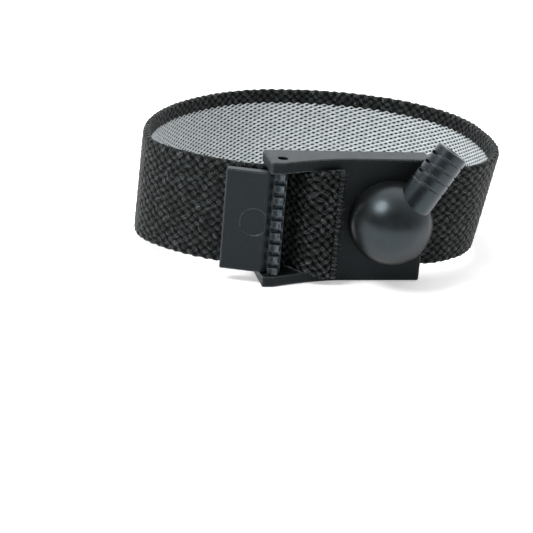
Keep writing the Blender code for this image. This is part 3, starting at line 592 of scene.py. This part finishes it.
def fray_piece(material, middle):
    """Short yarn ends standing out of the band's cut end."""
    generator = np.random.default_rng(FRAY_SEED)
    points = []
    faces = []
    for _ in range(FRAY_COUNT):
        first = len(points)
        last = first + (FRAY_RINGS - 1) * FRAY_SIDES
        points += fray_rings(generator)
        faces += ring_faces(first, FRAY_RINGS, FRAY_SIDES, gap_after=FRAY_RINGS - 1)
        faces.append(tuple(first + side for side in reversed(range(FRAY_SIDES))))
        faces.append(tuple(last + side for side in range(FRAY_SIDES)))
    placed = (np.array(points) + np.array(middle)) * MM
    return link_object("tail_fray", make_mesh("tail_fray", placed.tolist(), faces, material))


def dome_arc(radius, ball_y):
    """Reach and y of points on the dome's half ball, from its rim to just before its pole."""
    angles = [HALF * math.pi * step / DOME_STEPS for step in range(DOME_STEPS)]
    return [(radius * math.cos(angle), ball_y - radius * math.sin(angle)) for angle in angles]


def pole_faces(ring, pole, outward):
    """Triangles between one of the dome's rings and a pole."""
    first = ring * DOME_SIDES
    faces = []
    for side in range(DOME_SIDES):
        corners = (first + side, first + (side + 1) % DOME_SIDES, pole)
        faces.append(corners if outward else corners[::-1])
    return faces


def dome_piece(material):
    """The connector's cap as one fine turned shell about the swivel axis."""
    low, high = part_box("dome_cap")
    axis_x = (low.x + high.x) * HALF
    axis_z = (low.z + high.z) * HALF
    radius = (high.z - low.z) * HALF
    inner = radius - DOME_WALL * MM
    edge = DOME_EDGE * MM
    ball_y = low.y + radius
    outside = [(inner, high.y), (radius - edge, high.y), (radius, high.y - edge)]
    outside += dome_arc(radius, ball_y)
    profile = outside + dome_arc(inner, ball_y)[::-1]
    points = []
    for reach, y in profile:
        for side in range(DOME_SIDES):
            angle = TURN * side / DOME_SIDES
            points.append((axis_x + reach * math.cos(angle), y, axis_z + reach * math.sin(angle)))
    top_ring = len(outside) - 1
    outer_pole = len(points)
    points += [(axis_x, ball_y - radius, axis_z), (axis_x, ball_y - inner, axis_z)]
    faces = ring_faces(0, len(profile), DOME_SIDES, gap_after=top_ring)
    faces += pole_faces(top_ring, outer_pole, outward=True)
    faces += pole_faces(top_ring + 1, outer_pole + 1, outward=False)
    mesh = make_mesh("dome_shell", points, faces, material)
    mesh.set_sharp_from_angle(angle=math.radians(DOME_SHARP))
    return link_object("dome_shell", mesh)


class Shader:
    """A small builder for one node material ending in a Principled surface."""

    def __init__(self, name):
        self.material = bpy.data.materials.new(name)
        self.material.use_nodes = True
        self.tree = self.material.node_tree
        self.surface = self.tree.nodes["Principled BSDF"]

    def add(self, kind, inputs=None, **settings):
        """Add a node, set its options and its inputs (values or sockets)."""
        node = self.tree.nodes.new(kind)
        for key, value in settings.items():
            setattr(node, key, value)
        for key, value in (inputs or {}).items():
            self.put(node.inputs[key], value)
        return node

    def put(self, socket, value):
        """Link a socket to a socket, or set its plain value; colours get a full alpha."""
        if isinstance(value, bpy.types.NodeSocket):
            self.tree.links.new(value, socket)
        elif socket.type == "RGBA":
            socket.default_value = (*value, 1.0)
        else:
            socket.default_value = value

    def set(self, **inputs):
        """Set inputs of the Principled surface; underscores stand for spaces."""
        for key, value in inputs.items():
            self.put(self.surface.inputs[key.replace("_", " ")], value)

    def math(self, operation, first, second=0.0, third=0.0):
        """One math node's result."""
        inputs = {0: first, 1: second, 2: third}
        return self.add("ShaderNodeMath", inputs, operation=operation).outputs[0]

    def vector(self, operation, first, second=(0.0, 0.0, 0.0)):
        """One vector math node."""
        return self.add("ShaderNodeVectorMath", {0: first, 1: second}, operation=operation)

    def spread(self, value, low, high, to_low=0.0, to_high=1.0):
        """Map a range of values on to another, clamped."""
        inputs = {"Value": value, "From Min": low, "From Max": high, "To Min": to_low, "To Max": to_high}
        return self.add("ShaderNodeMapRange", inputs).outputs["Result"]

    def blend(self, share, first, second):
        """Mix two colours."""
        node = self.add("ShaderNodeMix", data_type="RGBA")
        self.put(node.inputs["Factor"], share)
        self.put(node.inputs["A"], first)
        self.put(node.inputs["B"], second)
        return node.outputs["Result"]

    def value(self, label):
        """A float stored at the mesh's points."""
        return self.add("ShaderNodeAttribute", attribute_name=label).outputs["Fac"]

    def pair(self, first, second):
        """Two values as the X and Y of a vector."""
        return self.add("ShaderNodeCombineXYZ", {"X": first, "Y": second}).outputs["Vector"]

    def sideways(self, vector):
        """The X part of a vector."""
        return self.add("ShaderNodeSeparateXYZ", {"Vector": vector}).outputs["X"]

    def place(self, scale=EVEN, rotation=(0.0, 0.0, 0.0)):
        """Object coordinates in millimetres, stretched by scale."""
        source = self.add("ShaderNodeTexCoord").outputs["Object"]
        stretch = tuple(part / MM for part in scale)
        inputs = {"Vector": source, "Scale": stretch, "Rotation": rotation}
        return self.add("ShaderNodeMapping", inputs).outputs["Vector"]

    def noise(self, place, scale, detail, roughness):
        """Noise values at a place."""
        inputs = {"Vector": place, "Scale": scale, "Detail": detail, "Roughness": roughness}
        return self.add("ShaderNodeTexNoise", inputs).outputs["Fac"]

    def drawn_noise(self, place, stretch, detail, roughness):
        """Noise drawn out along one way of a place."""
        drawn = self.add("ShaderNodeMapping", {"Vector": place, "Scale": stretch}).outputs["Vector"]
        return self.noise(drawn, 1.0, detail, roughness)

    def chance(self, place):
        """Unrelated 0..1 values at whole-numbered places."""
        return self.add("ShaderNodeTexWhiteNoise", {"Vector": place}).outputs["Value"]

    def bump(self, height, strength, distance, below=None):
        """A bumped normal; distance in millimetres."""
        inputs = {"Height": height, "Strength": strength, "Distance": distance * MM}
        if below is not None:
            inputs["Normal"] = below
        return self.add("ShaderNodeBump", inputs).outputs["Normal"]


def scaled(colour, factor, lift=0.0):
    """A colour made paler or deeper."""
    return tuple(part * factor + lift for part in colour)


def burnish_and_shade(shader, polish_from, tone, rough, gloss):
    """Upright polished streaks beyond polish_from with a painted sheen, and painted shade on the flank
    that ends them.
    """
    beyond = shader.sideways(shader.place())
    polished = shader.spread(beyond, polish_from - POLISH_FADE, polish_from)
    upright = shader.noise(shader.place(POLISH_STRETCH), scale=1.2, detail=2.0, roughness=0.5)
    sheen = shader.math("MULTIPLY", polished, shader.spread(upright, 0.4, 0.62, 0.15, 1.0))
    outward = shader.add("ShaderNodeTexCoord").outputs["Normal"]
    end_facing = shader.spread(shader.sideways(outward), 0.2, 0.6)
    flank = shader.math("MULTIPLY", polished, end_facing)
    sheen = shader.math("MULTIPLY", sheen, shader.math("SUBTRACT", 1.0, flank))
    # Painted shade: the flank facing along x beyond the teeth is darkened and its gloss dimmed
    tone = shader.blend(flank, tone, PAINTED_FLANK_SHADE)
    # Burnished teeth, their upright streaks lightened as a painted sheen
    tone = shader.blend(sheen, tone, BURNISHED_AND_SHEEN)
    rough = shader.math("MULTIPLY_ADD", polished, -0.08, rough)
    gloss = shader.math("MULTIPLY_ADD", sheen, 0.35, gloss)
    gloss = shader.math("MULTIPLY", gloss, shader.spread(flank, 0.0, 1.0, 1.0, 0.1))
    return tone, rough, gloss


def wear_and_highlight_share(shader, rounded, rubs, wear_and_highlight):
    """How worn the edges are and how much painted highlight they carry, from how far a rounded edge
    turns the normal away.
    """
    flat = shader.add("ShaderNodeNewGeometry").outputs["True Normal"]
    match = shader.vector("DOT_PRODUCT", rounded, flat).outputs["Value"]
    edge = shader.spread(match, 0.99, 0.86, 0.0, wear_and_highlight)
    return shader.math("MULTIPLY", edge, shader.spread(rubs, 0.4, 0.6, 0.35, 1.0))


def moulded(name, colour, roughness, grain, depth, facing, grazing, streak, wear_and_highlight, polish_from=None):
    """Moulded plastic: fine spark-eroded grain, cloudy gloss, rubs, worn edges lightened also as a
    painted highlight.

    Beyond polish_from (millimetres along x) the surface is burnished in upright streaks lightened as a
    painted sheen, and its end flank is darkened as painted shade.
    """
    shader = Shader(name)
    fine = shader.noise(shader.place(), scale=grain, detail=4.0, roughness=0.6)
    cloud = shader.noise(shader.place(), scale=0.35, detail=3.0, roughness=0.5)
    rubs = shader.noise(shader.place(RUB_STRETCH, RUB_TURN), scale=1.4, detail=2.0, roughness=0.4)
    rubbed = shader.spread(rubs, 0.62, 0.72)
    pale = scaled(colour, PALER, PALE_LIFT)
    tone = shader.blend(shader.spread(cloud, 0.3, 0.7), scaled(colour, DEEPER), colour)
    tone = shader.blend(shader.spread(fine, 0.55, 0.8, 0.0, SPECKS), tone, pale)
    tone = shader.blend(shader.math("MULTIPLY", rubbed, RUBS + streak), tone, pale)
    rough = shader.spread(cloud, 0.25, 0.75, roughness - 0.05, roughness + 0.06)
    rough = shader.math("ADD", rough, shader.math("MULTIPLY", rubbed, -0.08))
    turned = shader.add("ShaderNodeLayerWeight", {"Blend": HALF}).outputs["Facing"]
    gloss = shader.spread(turned, 0.35, 0.75, facing, grazing)
    if polish_from is not None:
        tone, rough, gloss = burnish_and_shade(shader, polish_from, tone, rough, gloss)
    bevel = shader.add("ShaderNodeBevel", {"Radius": EDGE_ROUND * MM}, samples=EDGE_SAMPLES)
    rounded = bevel.outputs["Normal"]
    # Edges lightened: worn plastic and a painted highlight along them
    tone = shader.blend(wear_and_highlight_share(shader, rounded, rubs, wear_and_highlight), tone, WORN_AND_HIGHLIGHT)
    normal = shader.bump(fine, strength=0.35, distance=depth, below=rounded)
    normal = shader.bump(rubs, strength=0.12, distance=depth, below=normal)
    shader.set(
        Base_Color=tone,
        Roughness=rough,
        Normal=normal,
        Specular_IOR_Level=gloss,
        Specular_Tint=GLOSS_TINT,
    )
    return shader.material


def brushed(name, colour, roughness, stretch, scale):
    """Metal with drawn or brushed lines along one way and a cloudy tarnish."""
    shader = Shader(name)
    lines = shader.noise(shader.place(stretch), scale, detail=5.0, roughness=0.7)
    cloud = shader.noise(shader.place(), scale=0.5, detail=3.0, roughness=0.6)
    share = shader.spread(shader.math("MULTIPLY", lines, cloud), 0.1, 0.45)
    shader.set(
        Base_Color=shader.blend(share, scaled(colour, TARNISH), colour),
        Metallic=1.0,
        Roughness=shader.spread(lines, 0.3, 0.7, roughness - 0.07, roughness + 0.1),
        Normal=shader.bump(lines, strength=0.25, distance=0.02),
    )
    return shader.material


def lacquered(name, colour):
    """Resistor body: cloudy lacquer over a ceramic core."""
    shader = Shader(name)
    cloud = shader.noise(shader.place(), scale=0.9, detail=2.0, roughness=0.5)
    shader.set(
        Base_Color=shader.blend(cloud, scaled(colour, LACQUER_DULL), colour),
        Roughness=0.35,
        Normal=shader.bump(cloud, strength=0.2, distance=0.03),
        Coat_Weight=0.4,
    )
    return shader.material


def knitted(name, gap, yarn, light, contrast, crest, roughness):
    """Knit: dark gaps, from the dark knit seen through them and from painted shade, strands and fibre
    lines along the yarns, uneven dye.
    """
    shader = Shader(name)
    place = shader.pair(shader.value("along"), shader.value("across"))
    strands = shader.drawn_noise(place, STRAND_STRETCH, detail=2.0, roughness=0.5)
    fibres = shader.drawn_noise(place, FIBRE_STRETCH, detail=4.0, roughness=0.65)
    patches = shader.noise(place, scale=0.5, detail=3.0, roughness=0.6)
    tone = shader.blend(shader.spread(patches, 0.3, 0.7), yarn, light)
    shade = shader.spread(strands, 0.32, 0.68, 1.0 - contrast, 1.0 + contrast)
    shade = shader.math("MULTIPLY", shade, shader.spread(fibres, 0.25, 0.75, 0.7, 1.3))
    tone = shader.vector("MULTIPLY", tone, shade).outputs[0]
    # Low relief takes the gap colour: the dark knit behind, deepened as painted shade
    share = shader.spread(shader.value("relief"), 0.1, crest)
    normal = shader.bump(strands, strength=contrast, distance=0.12)
    shader.set(
        Base_Color=shader.blend(share, gap, tone),
        Roughness=roughness,
        Normal=shader.bump(fibres, strength=0.4, distance=0.04, below=normal),
        Specular_IOR_Level=shader.math("MULTIPLY", share, 0.4),
        Sheen_Weight=shader.math("MULTIPLY", share, 0.06),
        Sheen_Roughness=0.5,
    )
    return shader.material


def basket_knit(name, gap, yarn, glint):
    """Outer knit: a few twisted strands to a grain, each with its own brightness, their crests painted
    light as highlight and the holes and creases painted dark as shade.
    """
    shader = Shader(name)
    rising = shader.value("rising")
    falling = shader.value("falling")
    lattice = shader.pair(rising, falling)
    sway = shader.noise(lattice, scale=2.2, detail=2.0, roughness=0.6)
    fibres = shader.noise(lattice, scale=5.0, detail=4.0, roughness=0.7)
    grain = shader.vector("ADD", lattice, (HALF, HALF, 0.0)).outputs[0]
    dye = shader.chance(shader.vector("FLOOR", grain).outputs[0])
    crossed = shader.math("GREATER_THAN", dye, CROSSED_FROM)
    lines = shader.math("MULTIPLY_ADD", shader.math("SUBTRACT", falling, rising), crossed, rising)
    offset = shader.math("MULTIPLY_ADD", dye, GRAIN_OFFSET, shader.math("MULTIPLY", sway, STRAND_SWAY))
    turns = shader.math("MULTIPLY_ADD", lines, STRANDS, offset)
    within = shader.math("SUBTRACT", shader.math("FRACT", turns), HALF)
    # Painted highlight on each strand's crest, painted shade between the strands
    crest = shader.spread(shader.math("ABSOLUTE", within), 0.05, HALF, 1.0, 0.0)
    strand_dye = shader.chance(shader.pair(shader.math("FLOOR", turns), dye))
    shade = shader.math("MULTIPLY", crest, shader.spread(strand_dye, 0.0, 1.0, 0.25, 1.1))
    shade = shader.math("MULTIPLY", shade, shader.spread(fibres, 0.38, 0.66, 0.0, 2.4))
    shade = shader.math("MULTIPLY", shade, shader.spread(dye, 0.0, 1.0, 0.7, 1.15))
    # Colour from the dark yarn up to the painted glint
    tone = shader.blend(shader.spread(shade, 0.3, 1.05), yarn, glint)
    # Painted shade: low relief, in the holes and creases, takes the gap colour
    share = shader.spread(shader.value("relief"), 0.05, 0.85)
    normal = shader.bump(crest, strength=0.75, distance=0.09)
    shader.set(
        Base_Color=shader.blend(share, gap, tone),
        Roughness=0.5,
        Normal=shader.bump(fibres, strength=0.7, distance=0.1, below=normal),
        Specular_IOR_Level=shader.math("MULTIPLY", share, 0.35),
        Sheen_Weight=shader.math("MULTIPLY", share, 0.05),
        Sheen_Roughness=0.5,
    )
    return shader.material


def make_finishes():
    """The finish of every plastic, metal and lacquer slot of the record."""
    teeth_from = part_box("clamp_lever")[1].x / MM - TEETH_DEPTH
    finishes = {"resistor_lacquer": lacquered("resistor_lacquer", LACQUER)}
    for slot, look in PLASTICS.items():
        polish_from = teeth_from if slot == POLISHED_SLOT else None
        finishes[slot] = moulded(slot, polish_from=polish_from, **look)
    for slot, look in METALS.items():
        finishes[slot] = brushed(slot, **look)
    return finishes


def dress_frame(nodes, subparts, finishes):
    """Give every carried-over CAD node whose slot is among the finishes that finish."""
    slots = {row["node"]: row["material_slot"] for row in subparts}
    for name, piece in nodes.items():
        if slots[name] in finishes:
            piece.data.materials.clear()
            piece.data.materials.append(finishes[slots[name]])


def make_camera(centre):
    """Camera at the fitted place, level line rolled, looking past the buckle's middle."""
    azimuth = math.radians(VIEW_AZIMUTH)
    elevation = math.radians(VIEW_ELEVATION)
    roll = math.radians(VIEW_ROLL)
    back = Vector((
        math.sin(azimuth) * math.cos(elevation),
        -math.cos(azimuth) * math.cos(elevation),
        math.sin(elevation),
    ))
    level = Vector((math.cos(azimuth), math.sin(azimuth), 0.0))
    upright = back.cross(level)
    right = level * math.cos(roll) + upright * math.sin(roll)
    up = upright * math.cos(roll) - level * math.sin(roll)
    data = bpy.data.cameras.new("view")
    data.sensor_width = SENSOR_WIDTH
    data.lens = VIEW_LENS
    data.clip_start = CLIP_NEAR
    data.clip_end = CLIP_FAR
    turned = Matrix((right, up, back)).transposed().to_4x4()
    turned.translation = centre + (back * VIEW_DISTANCE - right * VIEW_SIDE - up * VIEW_RISE) * MM
    camera = link_object("view", data)
    camera.matrix_world = turned
    bpy.context.scene.camera = camera


def make_world():
    """White surroundings, bright on one side and dim on the other."""
    world = bpy.data.worlds.new("studio")
    world.use_nodes = True
    nodes = world.node_tree.nodes
    links = world.node_tree.links
    coordinates = nodes.new("ShaderNodeTexCoord")
    toward = nodes.new("ShaderNodeVectorMath")
    toward.operation = "DOT_PRODUCT"
    toward.inputs[1].default_value = BRIGHT_WAY
    ramp = nodes.new("ShaderNodeMapRange")
    for label, value in WORLD_RAMP.items():
        ramp.inputs[label].default_value = value
    backdrop = nodes["Background"]
    backdrop.inputs["Color"].default_value = (*WHITE, 1.0)
    links.new(coordinates.outputs["Generated"], toward.inputs[0])
    links.new(toward.outputs["Value"], ramp.inputs["Value"])
    links.new(ramp.outputs["Result"], backdrop.inputs["Strength"])
    bpy.context.scene.world = world


def soft_box(name, place, size, power, colour):
    """A round area light aimed at the strap."""
    data = bpy.data.lights.new(name, "AREA")
    data.shape = "DISK"
    data.size = size
    data.energy = power
    data.color = colour
    light = link_object(name, data)
    light.location = place
    light.rotation_euler = (Vector(LIGHT_AIM) - Vector(place)).to_track_quat("-Z", "Y").to_euler()


def make_floor():
    """A wide pale paper floor with a little glow of its own."""
    shader = Shader("floor_paper")
    speckle = shader.noise(shader.place(), scale=0.8, detail=3.0, roughness=0.6)
    shader.set(
        Base_Color=shader.blend(speckle, *FLOOR_SHADES),
        Roughness=0.9,
        Specular_IOR_Level=0.1,
        Emission_Color=WHITE,
        Emission_Strength=FLOOR_GLOW,
    )
    corners = [(-1, -1), (1, -1), (1, 1), (-1, 1)]
    points = [(x * FLOOR_REACH, y * FLOOR_REACH, 0.0) for x, y in corners]
    floor = link_object("floor", make_mesh("floor", points, [(0, 1, 2, 3)], shader.material))


def make_studio():
    """Surroundings, two soft boxes and the floor."""
    bpy.context.scene.view_settings.view_transform = "Standard"
    make_world()
    soft_box("key", **KEY_LIGHT)
    soft_box("top", **TOP_LIGHT)
    make_floor()


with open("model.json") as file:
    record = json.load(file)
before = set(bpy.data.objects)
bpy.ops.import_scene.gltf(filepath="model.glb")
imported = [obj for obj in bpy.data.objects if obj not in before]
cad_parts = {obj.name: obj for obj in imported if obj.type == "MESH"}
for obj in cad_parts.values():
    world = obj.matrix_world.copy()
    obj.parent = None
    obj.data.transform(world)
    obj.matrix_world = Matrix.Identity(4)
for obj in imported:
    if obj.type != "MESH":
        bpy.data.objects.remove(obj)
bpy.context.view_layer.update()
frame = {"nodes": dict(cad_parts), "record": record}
buckle_low, buckle_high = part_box("buckle_frame")
centre_x = buckle_low.x + FRONT_LENGTH * HALF * MM
back_y = buckle_high.y
middle_z = (buckle_low.z + buckle_high.z) * HALF
band_middle = (centre_x / MM, back_y / MM, middle_z / MM)

make_camera(Vector((centre_x, back_y, middle_z)))
make_studio()
finishes = make_finishes()
dress_frame(frame["nodes"], frame["record"]["subparts"], finishes)
outer_knit = basket_knit("elastic_knit", **OUTER_LOOK)
lining_knit = knitted("lining_knit", **LINING_LOOK)
fray_yarn = knitted("fray_yarn", **FRAY_LOOK)

loop = loop_stations()
band = knit_piece("band_knit", loop, outer_knit, band_middle, LOOP_OPENNESS)
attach(band, "buckle")
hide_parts("band_loop")
lining = lining_piece("band_lining", loop, lining_knit, band_middle)
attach(lining, "buckle")

tail = tail_stations()
tail_band = knit_piece("tail_knit", tail, outer_knit, band_middle, TAIL_OPENNESS, tail_ending)
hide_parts("band_tail")
tail_lining = lining_piece("tail_lining", tail, lining_knit, band_middle)
tail_fray = fray_piece(fray_yarn, band_middle)
for soft in (tail_band, tail_lining, tail_fray):
    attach(soft, "buckle")
    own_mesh(soft)

dome = dome_piece(finishes["cap_plastic"])
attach(dome, "connector")
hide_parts("dome_cap")
